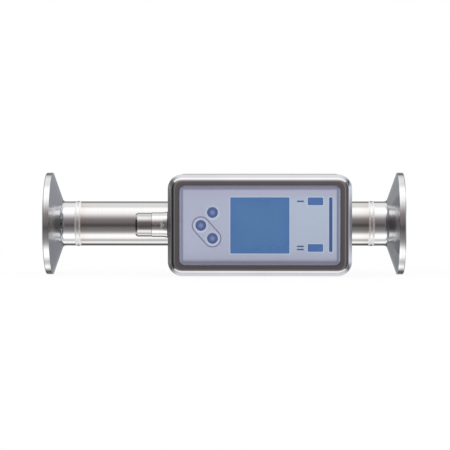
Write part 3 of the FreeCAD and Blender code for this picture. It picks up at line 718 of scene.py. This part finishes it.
def weldBead(node):
    # height over the tube = toe + (crown - toe) * (1 - t^2) + ripple, with t from -1 to 1 across the bead
    b = bead
    share = np.linspace(-1, 1, b["rows"])[:, None]
    turn = np.linspace(0, 2 * np.pi, b["columns"], endpoint=False)[None, :]
    hump = 1 - share ** 2
    ripple = b["rippleHeight"] * hump * np.cos(b["ripples"] * turn + b["chevron"] * share ** 2)
    top = b["tubeRadius"] + b["toe"] + (b["crown"] - b["toe"] - b["rippleHeight"]) * hump + ripple
    radius = np.concatenate([top, np.full_like(turn, b["tubeRadius"] - b["rootDepth"])])
    along = np.concatenate([share * b["halfWidth"], [[0.0]]]) + weldPlaces[node]
    points = np.stack([along + 0 * turn, -radius * np.cos(turn), radius * np.sin(turn)], -1)
    piece = gridPiece(node + "_bead", points, True, "weldSteel", "meter")
    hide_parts(node)


# Keys: shallow dish, rounded rim, flange behind the panel and a stem
cap = {"radius": 2.45, "dishRadius": 1.6, "dishDepth": 0.2, "dishRows": 16, "rimRound": 0.35, "rimRows": 9,
       "flangeBack": 2.35, "flangeThick": 0.8, "stemRadius": 1.0, "backStep": 1.0, "columns": 96}


def pushKey(node):
    # turned about its own y axis; the dish is depth * (1 - (r / R)^2)^2
    c = cap
    low, high = boxOf(node)
    middle = keyPlaces[node]
    reach = np.linspace(0, c["dishRadius"], c["dishRows"])
    dish = np.stack([low[1] + c["dishDepth"] * (1 - (reach / c["dishRadius"]) ** 2) ** 2, reach], -1)
    bend = np.linspace(0, np.pi / 2, c["rimRows"])
    edge = np.stack([low[1] + c["rimRound"] * (1 - np.cos(bend)),
                     c["radius"] - c["rimRound"] + c["rimRound"] * np.sin(bend)], -1)
    flangeFront = low[1] + c["flangeBack"]
    flangeEnd = flangeFront + c["flangeThick"]
    flangeRadius = (high[0] - low[0]) / 2
    corners = [(flangeFront, c["radius"]), (flangeFront, flangeRadius), (flangeEnd, flangeRadius),
               (flangeEnd, c["stemRadius"]), (high[1], c["stemRadius"]), (high[1], 0)]
    back = walk(corners, [c["backStep"]] * 5)
    profile = np.concatenate([dish, edge, back, [[high[1], 0]]])
    turn = np.linspace(0, 2 * np.pi, c["columns"], endpoint=False)[None, :]
    depth, radius = profile[:, :1], profile[:, 1:]
    points = np.stack([middle[0] + radius * np.cos(turn), depth + 0 * turn,
                       middle[2] + radius * np.sin(turn)], -1)
    share = np.clip(radius / c["radius"], 0, 1) + 0 * turn
    piece = gridPiece(node + "_cap", points, False, "keyBlue", node, {"reach": share})
    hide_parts(node)


# Channel marks: one dash by the upper light, two by the lower
mark = {"width": 3.4, "height": 0.75, "roundness": 2.2, "flat": 0.9, "proud": 0.03, "sunk": 0.02, "gap": 3.6,
        "pitch": 1.5, "arc": 12}


def roundedOutline(halfWidth, halfHeight, corner, arc):
    # four quarter circles of points, joined by the straight runs between them
    turn = (np.arange(4)[:, None] + np.linspace(0, 1, arc)[None, :]) * np.pi / 2
    signX = np.array([1, -1, -1, 1])[:, None]
    signZ = np.array([1, 1, -1, -1])[:, None]
    x = signX * (halfWidth - corner) + corner * np.cos(turn)
    z = signZ * (halfHeight - corner) + corner * np.sin(turn)
    return np.stack([x.ravel(), z.ravel()], -1)


def channelMark(name, x, z):
    m = mark
    outline = roundedOutline(m["width"] / 2, m["height"] / 2, m["height"] / m["roundness"], m["arc"])
    front = panelFace - m["proud"]
    back = panelFace + m["sunk"]
    rings = [(0, front), (m["flat"], front), (1, front + m["proud"] / 2), (1, back), (0, back)]
    points = [np.stack([x + size * outline[:, 0], np.full(len(outline), y), z + size * outline[:, 1]], -1)
              for size, y in rings]
    gridPiece(name, np.stack(points), False, "markBlue", "meter")


plugSleeve()
for weldNode in weldPlaces:
    weldBead(weldNode)
for keyNode in keyPlaces:
    pushKey(keyNode)
markX = boxOf("upper_indicator_window")[0][0] + windowFlange - mark["gap"]
upperZ = middleOf("upper_indicator_window")[2]
lowerZ = middleOf("lower_indicator_window")[2]
channelMark("upper_mark", markX, upperZ)
channelMark("lower_mark_a", markX, lowerZ + mark["pitch"] / 2)
channelMark("lower_mark_b", markX, lowerZ - mark["pitch"] / 2)
print("pieces made")

# Studio: what polished steel sees, by the direction over the top (0 faces the camera, 90 is up, -90 down)
# and by the direction round the sides (0 faces the camera, 90 is right); each stop is angle, level, tint.
# Spans are parts of a direction of length 1
warm = (1.03, 0.91, 0.92)
brown = (1.1, 0.96, 0.91)
mild = (1.04, 0.975, 0.98)
plain = (1.0, 1.0, 1.0)
cool = (0.97, 1.02, 1.07)
blue = (0.96, 1.0, 1.1)
studio = {
    "overTop": [(-180, 0.38, plain), (-164, 0.38, plain), (-150, 0.14, plain), (-135, 0.11, plain),
                (-123, 0.9, plain), (-114, 1.6, plain), (-106, 1.08, plain), (-97, 0.68, plain),
                (-88, 0.93, plain), (-80, 1.5, plain), (-62, 1.58, plain), (-56, 1.27, plain),
                (-50, 0.86, plain), (-44, 0.49, mild), (-38, 0.39, mild), (-33, 0.29, mild),
                (-22, 0.23, mild), (-16, 0.165, mild), (-8, 0.09, mild), (4, 0.19, warm),
                (15, 0.265, warm), (24, 0.325, warm), (35, 0.62, warm), (46, 1.02, plain),
                (57, 1.38, plain), (78, 1.6, plain), (89, 1.5, plain), (99, 1.06, plain),
                (120, 1.12, plain), (137, 0.85, plain), (147, 0.17, plain), (180, 0.38, plain)],
    "roundSides": [(-180, 0.375, cool), (-154, 0.345, cool), (-134, 0.425, plain), (-114, 0.46, plain),
                   (-97, 0.42, plain), (-80, 0.085, plain), (-62, 0.02, brown), (-50, 0.04, brown),
                   (-31, 0.12, brown), (-12, 0.29, plain), (-5, 0.14, plain), (3, 0.14, plain),
                   (7, 0.33, warm), (21, 0.33, warm), (37, 0.12, plain), (58, 0.15, plain),
                   (74, 0.11, plain), (86, 0.24, plain), (95, 1.3, blue), (112, 1.6, blue),
                   (124, 0.7, blue), (136, 0.355, blue), (180, 0.355, cool)],
    "sideSpan": (0.1, 0.25), "leanSharp": (0.76, 0.644), "leanGentle": (1.5, 0.15),
    "besideStart": (0.0, 0.12), "besideEnd": (0.36, 0.26), "frontSpan": (-0.38, -0.5),
    "lowSpan": (-0.3, 0.0), "lowLean": 0.88, "tableSpan": (-0.12, 0.12), "tableShade": (0.86, 1.03),
    "flagStart": (0.04, 0.32), "flagEnd": (0.97, 0.45), "flagAside": (0.1, 0.4), "flagTurn": (-0.2, 0.2),
    "flagDepth": (0.72, 0.94), "brightest": 2.0, "fillLevel": 0.86}
white = (1.0, 1.0, 1.0, 1.0)


def directionRamp(tree, angle, stops):
    node = tree.nodes.new("ShaderNodeValToRGB")
    elements = node.color_ramp.elements
    while len(elements) < len(stops):
        elements.new(0.5)
    for element, (degrees, level, tint) in zip(elements, stops):
        element.position = (degrees + 180) / 360
        element.color = (*[part * level / studio["brightest"] for part in tint], 1.0)
    feed(tree, node.inputs[0], calc(tree, "ADD", calc(tree, "DIVIDE", angle, 2 * math.pi), 0.5))
    return node.outputs["Color"]


def background(tree, colour, strength):
    node = tree.nodes.new("ShaderNodeBackground")
    feed(tree, node.inputs["Color"], colour)
    node.inputs["Strength"].default_value = strength
    return node.outputs[0]


def mixShader(tree, factor, first, second):
    node = tree.nodes.new("ShaderNodeMixShader")
    feed(tree, node.inputs[0], factor)
    feed(tree, node.inputs[1], first)
    feed(tree, node.inputs[2], second)
    return node.outputs[0]


def makeWorld():
    s = studio
    world = bpy.data.worlds.new("studio")
    bpy.context.scene.world = world
    world.use_nodes = True
    world.cycles.sampling_method = "NONE"  # the light is even, so rays find it by themselves
    tree = world.node_tree
    tree.nodes.clear()
    parts = tree.nodes.new("ShaderNodeSeparateXYZ")
    feed(tree, parts.inputs[0], tree.nodes.new("ShaderNodeTexCoord").outputs["Generated"])
    x, y, z = parts.outputs
    ahead = calc(tree, "MULTIPLY", y, -1.0)
    overTop = directionRamp(tree, calc(tree, "ARCTAN2", z, ahead), s["overTop"])
    roundSides = directionRamp(tree, calc(tree, "ARCTAN2", x, ahead), s["roundSides"])
    aside = calc(tree, "ABSOLUTE", x)
    steep = calc(tree, "ABSOLUTE", z)

    # the sides show where a direction leans little, and reach further below than above
    low = fade(tree, z, *s["lowSpan"], s["lowLean"], 1.0)
    lean = calc(tree, "ARCTAN2", calc(tree, "MULTIPLY", steep, low), aside)
    # sides and top melt gently into each other beside the meter and in front of it
    beside = calc(tree, "MULTIPLY", fade(tree, y, *s["besideStart"]), fade(tree, y, *s["besideEnd"]))
    gentle = calc(tree, "MAXIMUM", beside, fade(tree, y, *s["frontSpan"]))
    leanEnds = [fade(tree, gentle, 0.0, 1.0, *ends) for ends in zip(s["leanSharp"], s["leanGentle"])]
    level = calc(tree, "MULTIPLY", fade(tree, aside, *s["sideSpan"]), fade(tree, lean, *leanEnds))
    shaded = toned(tree, roundSides, fade(tree, z, *s["tableSpan"], *s["tableShade"]))
    looked = blend(tree, level, overTop, shaded)

    # dark boards at the corners, deeper on the right
    flag = calc(tree, "MULTIPLY", fade(tree, steep, *s["flagStart"]), fade(tree, steep, *s["flagEnd"]))
    flag = calc(tree, "MULTIPLY", flag, calc(tree, "MULTIPLY", fade(tree, aside, *s["flagAside"]), beside))
    depth = fade(tree, x, *s["flagTurn"], *s["flagDepth"])
    dark = calc(tree, "SUBTRACT", 1.0, calc(tree, "MULTIPLY", flag, depth))

    # steel sees the bands, the light that a plain surface gathers stays even, and the backdrop is white
    seen = background(tree, toned(tree, looked, dark), s["brightest"])
    fill = background(tree, white, s["fillLevel"])
    backdrop = background(tree, white, 1.0)
    path = tree.nodes.new("ShaderNodeLightPath").outputs
    first = calc(tree, "LESS_THAN", path["Diffuse Depth"], 0.5)
    lit = mixShader(tree, calc(tree, "MULTIPLY", path["Is Glossy Ray"], first), fill, seen)
    direct = calc(tree, "MAXIMUM", path["Is Camera Ray"], path["Is Transmission Ray"])
    out = tree.nodes.new("ShaderNodeOutputWorld")
    feed(tree, out.inputs["Surface"], mixShader(tree, direct, lit, backdrop))


# Pale floor under the clamp rims; a camera ray sees mostly its own white, so the shadow stays faint, and
# pure white further away
floorLook = {"half": 4.0, "paper": (0.95, 0.95, 0.95, 1.0), "whiteShare": (0.92, 1.0),
             "shadowReach": (0.12, 0.3)}


def makeFloor():
    half = floorLook["half"]
    height = cadBox[0].z
    corners = [(-half, -half, height), (half, -half, height), (half, half, height), (-half, half, height)]
    mesh = bpy.data.meshes.new("floor")
    mesh.from_pydata(corners, [], [(0, 1, 2, 3)])
    material = bpy.data.materials.new("paleFloor")
    material.use_nodes = True
    tree = material.node_tree
    tree.nodes.clear()
    paper = tree.nodes.new("ShaderNodeBsdfDiffuse")
    paper.inputs["Color"].default_value = floorLook["paper"]
    glow = tree.nodes.new("ShaderNodeEmission")
    path = tree.nodes.new("ShaderNodeLightPath").outputs
    away = vectorCalc(tree, "LENGTH", vectorCalc(tree, "MULTIPLY", objectPlace(tree), (1, 1, 0)))
    whiteness = fade(tree, away, *floorLook["shadowReach"], *floorLook["whiteShare"])
    share = calc(tree, "MULTIPLY", path["Is Camera Ray"], whiteness)
    out = tree.nodes.new("ShaderNodeOutputMaterial")
    feed(tree, out.inputs["Surface"], mixShader(tree, share, paper.outputs[0], glow.outputs[0]))
    mesh.materials.append(material)
    floor = bpy.data.objects.new("floor", mesh)
    floor.visible_glossy = False  # steel sees the studio's own table instead
    bpy.context.scene.collection.objects.link(floor)


def aimed(name, data, place, aim):  # a lamp or camera at a place, looking at its aim
    holder = bpy.data.objects.new(name, data)
    holder.location = place
    holder.rotation_euler = (Vector(aim) - Vector(place)).to_track_quat("-Z", "Y").to_euler()
    bpy.context.scene.collection.objects.link(holder)
    return holder


# One broad soft lamp, above and in front
lamp = {"place": (-0.35, -0.9, 1.0), "aim": (0.0, 0.0, 0.0), "size": (1.4, 0.9), "power": 6.0}


def makeLamp():
    light = bpy.data.lights.new("softLamp", "AREA")
    light.shape = "RECTANGLE"
    light.size, light.size_y = lamp["size"]
    light.energy = lamp["power"]
    aimed("softLamp", light, lamp["place"], lamp["aim"]).visible_glossy = False


# Camera nearly square to the display, a long lens about a metre away
camera = {"place": (0.0146, -1.0695, 0.0320), "aim": (0.0001, 0.0, -0.00074), "lens": 172.2, "sensor": 36.0}


def makeCamera():
    data = bpy.data.cameras.new("camera")
    data.lens = camera["lens"]
    data.sensor_width = camera["sensor"]
    bpy.context.scene.camera = aimed("camera", data, camera["place"], camera["aim"])


makeWorld()
makeFloor()
makeLamp()
makeCamera()
bpy.context.scene.view_settings.view_transform = "Standard"
print("studio set")
